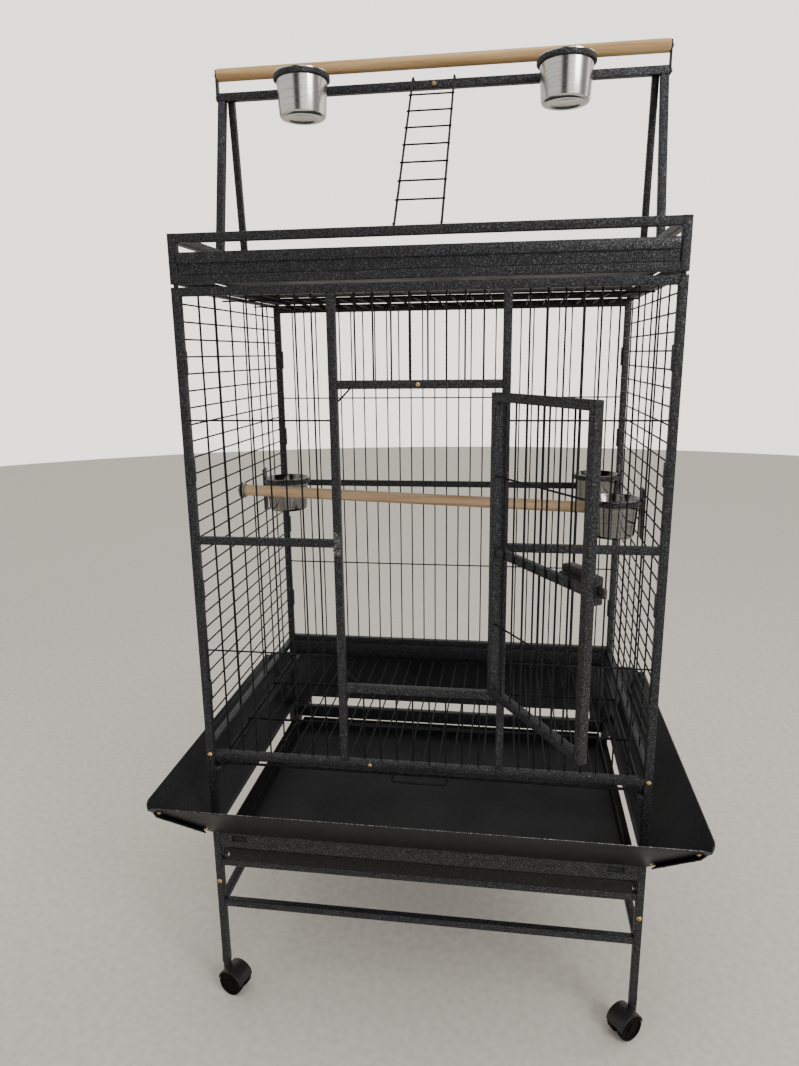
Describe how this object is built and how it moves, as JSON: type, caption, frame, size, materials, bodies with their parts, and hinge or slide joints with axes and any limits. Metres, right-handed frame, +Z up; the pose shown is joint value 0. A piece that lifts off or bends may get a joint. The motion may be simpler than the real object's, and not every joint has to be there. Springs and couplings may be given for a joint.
{
  "type": "bird cage",
  "caption": "Play-top parrot cage on casters: wire panels, swing door, flared seed guard, pull-out grate and trays, and a play stand with perch, cups and ladder.",
  "frame": {"origin": "on the floor under the middle of the cage body", "axes": "+Z up, -Y towards the door front, +X to the right seen from the front"},
  "size_m": [0.9988, 0.8957, 1.7785],
  "materials": {
    "frame_black": "hammered powder coat with silver flecks",
    "wire_black": "powder coat",
    "sheet_black": "smooth powder coat",
    "stainless": "bright stainless",
    "wood": "natural, sanded",
    "brass": "plated",
    "zinc": "zinc plated",
    "caster_plastic": "moulded",
    "wheel_plastic": "moulded"
  },
  "bodies": {
    "cage": {"back_frame": "frame_black", "back_wires": "wire_black", "bar_perch": "wood", "bar_perch_fasteners": "zinc", "caster_sockets": "caster_plastic", "ceiling_wires": "wire_black", "door_stops": "wire_black", "frame_bolts": "brass", "front_frame": "frame_black", "front_wires": "wire_black", "grate_ledges": "frame_black", "guard_braces": "sheet_black", "guard_screws": "brass", "hinge_fixed_leaves": "frame_black", "hinge_pins": "zinc", "inner_cup_holders": "frame_black", "panel_hooks": "frame_black", "perch_plates": "frame_black", "playstand_crossbar": "frame_black", "playstand_legs": "frame_black", "playstand_struts": "frame_black", "playtop_frame": "frame_black", "seed_guard_back": "sheet_black", "seed_guard_front": "sheet_black", "seed_guard_left": "sheet_black", "seed_guard_right": "sheet_black", "side_frame_left": "frame_black", "side_frame_right": "frame_black", "side_wires_left": "wire_black", "side_wires_right": "wire_black", "stand_back": "frame_black", "stand_front": "frame_black", "stand_screws": "brass", "strike": "zinc", "top_cup_holders": "frame_black", "top_perch": "wood", "tray_guides": "sheet_black"},
    "door": {"door_frame": "frame_black", "door_wires": "wire_black", "hinge_door_leaves": "frame_black", "latch_body": "frame_black"},
    "latch": {"latch_bolt": "zinc", "latch_lever": "frame_black"},
    "bottom_tray": {"bottom_tray": "sheet_black"},
    "grate": {"grate": "wire_black"},
    "top_tray": {"top_tray": "sheet_black"},
    "ladder": {"ladder": "wire_black"},
    "cup_inner_far": {"cup_inner_far": "stainless"},
    "cup_inner_left": {"cup_inner_left": "stainless"},
    "cup_inner_near": {"cup_inner_near": "stainless"},
    "cup_top_left": {"cup_top_left": "stainless"},
    "cup_top_right": {"cup_top_right": "stainless"},
    "caster_fork_front_left": {"caster_fork_front_left": "caster_plastic"},
    "caster_wheels_front_left": {"caster_wheels_front_left": "wheel_plastic"},
    "caster_fork_front_right": {"caster_fork_front_right": "caster_plastic"},
    "caster_wheels_front_right": {"caster_wheels_front_right": "wheel_plastic"},
    "caster_fork_back_left": {"caster_fork_back_left": "caster_plastic"},
    "caster_wheels_back_left": {"caster_wheels_back_left": "wheel_plastic"},
    "caster_fork_back_right": {"caster_fork_back_right": "caster_plastic"},
    "caster_wheels_back_right": {"caster_wheels_back_right": "wheel_plastic"}
  },
  "joints": [
    {"name": "door_swing", "type": "hinge", "parent": "cage", "child": "door", "pos_m": [0.1315, -0.287, 0.942], "axis": [0, 0, 1], "range_deg": [-121.9, 28]},
    {"name": "latch_slide", "type": "slide", "parent": "door", "child": "latch", "axis": [-0.5299, 0.848, 0], "range_m": [0, 0.014]},
    {"name": "bottom_tray_slide", "type": "slide", "parent": "cage", "child": "bottom_tray", "axis": [0, -1, 0], "range_m": [0, 0.45]},
    {"name": "grate_slide", "type": "slide", "parent": "cage", "child": "grate", "axis": [0, -1, 0], "range_m": [0, 0.45]},
    {"name": "top_tray_slide", "type": "slide", "parent": "cage", "child": "top_tray", "axis": [0, -1, 0], "range_m": [0, 0.45]},
    {"name": "ladder_lift", "type": "slide", "parent": "cage", "child": "ladder", "axis": [0, 0, 1], "range_m": [0, 0.0155]},
    {"name": "cup_inner_far_lift", "type": "slide", "parent": "cage", "child": "cup_inner_far", "axis": [0, 0, 1], "range_m": [0, 0.1]},
    {"name": "cup_inner_left_lift", "type": "slide", "parent": "cage", "child": "cup_inner_left", "axis": [0, 0, 1], "range_m": [0, 0.1]},
    {"name": "cup_inner_near_lift", "type": "slide", "parent": "cage", "child": "cup_inner_near", "axis": [0, 0, 1], "range_m": [0, 0.1]},
    {"name": "cup_top_left_lift", "type": "slide", "parent": "cage", "child": "cup_top_left", "axis": [0, 0, 1], "range_m": [0, 0.1]},
    {"name": "cup_top_right_lift", "type": "slide", "parent": "cage", "child": "cup_top_right", "axis": [0, 0, 1], "range_m": [0, 0.1]},
    {"name": "caster_swivel_front_left", "type": "hinge", "parent": "cage", "child": "caster_fork_front_left", "pos_m": [-0.3995, -0.276, 0.055], "axis": [0, 0, 1], "continuous": true},
    {"name": "caster_roll_front_left", "type": "hinge", "parent": "caster_fork_front_left", "child": "caster_wheels_front_left", "pos_m": [-0.38238, -0.28156, 0.025], "axis": [0.309, 0.9511, 0], "continuous": true},
    {"name": "caster_swivel_front_right", "type": "hinge", "parent": "cage", "child": "caster_fork_front_right", "pos_m": [0.3995, -0.276, 0.055], "axis": [0, 0, 1], "continuous": true},
    {"name": "caster_roll_front_right", "type": "hinge", "parent": "caster_fork_front_right", "child": "caster_wheels_front_right", "pos_m": [0.38512, -0.28683, 0.025], "axis": [0.6018, -0.7986, 0], "continuous": true},
    {"name": "caster_swivel_back_left", "type": "hinge", "parent": "cage", "child": "caster_fork_back_left", "pos_m": [-0.3995, 0.276, 0.055], "axis": [0, 0, 1], "continuous": true},
    {"name": "caster_roll_back_left", "type": "hinge", "parent": "caster_fork_back_left", "child": "caster_wheels_back_left", "pos_m": [-0.38842, 0.26182, 0.025], "axis": [0.788, 0.6157, 0], "continuous": true},
    {"name": "caster_swivel_back_right", "type": "hinge", "parent": "cage", "child": "caster_fork_back_right", "pos_m": [0.3995, 0.276, 0.055], "axis": [0, 0, 1], "continuous": true},
    {"name": "caster_roll_back_right", "type": "hinge", "parent": "caster_fork_back_right", "child": "caster_wheels_back_right", "pos_m": [0.38842, 0.26182, 0.025], "axis": [0.788, -0.6157, 0], "continuous": true}
  ]
}
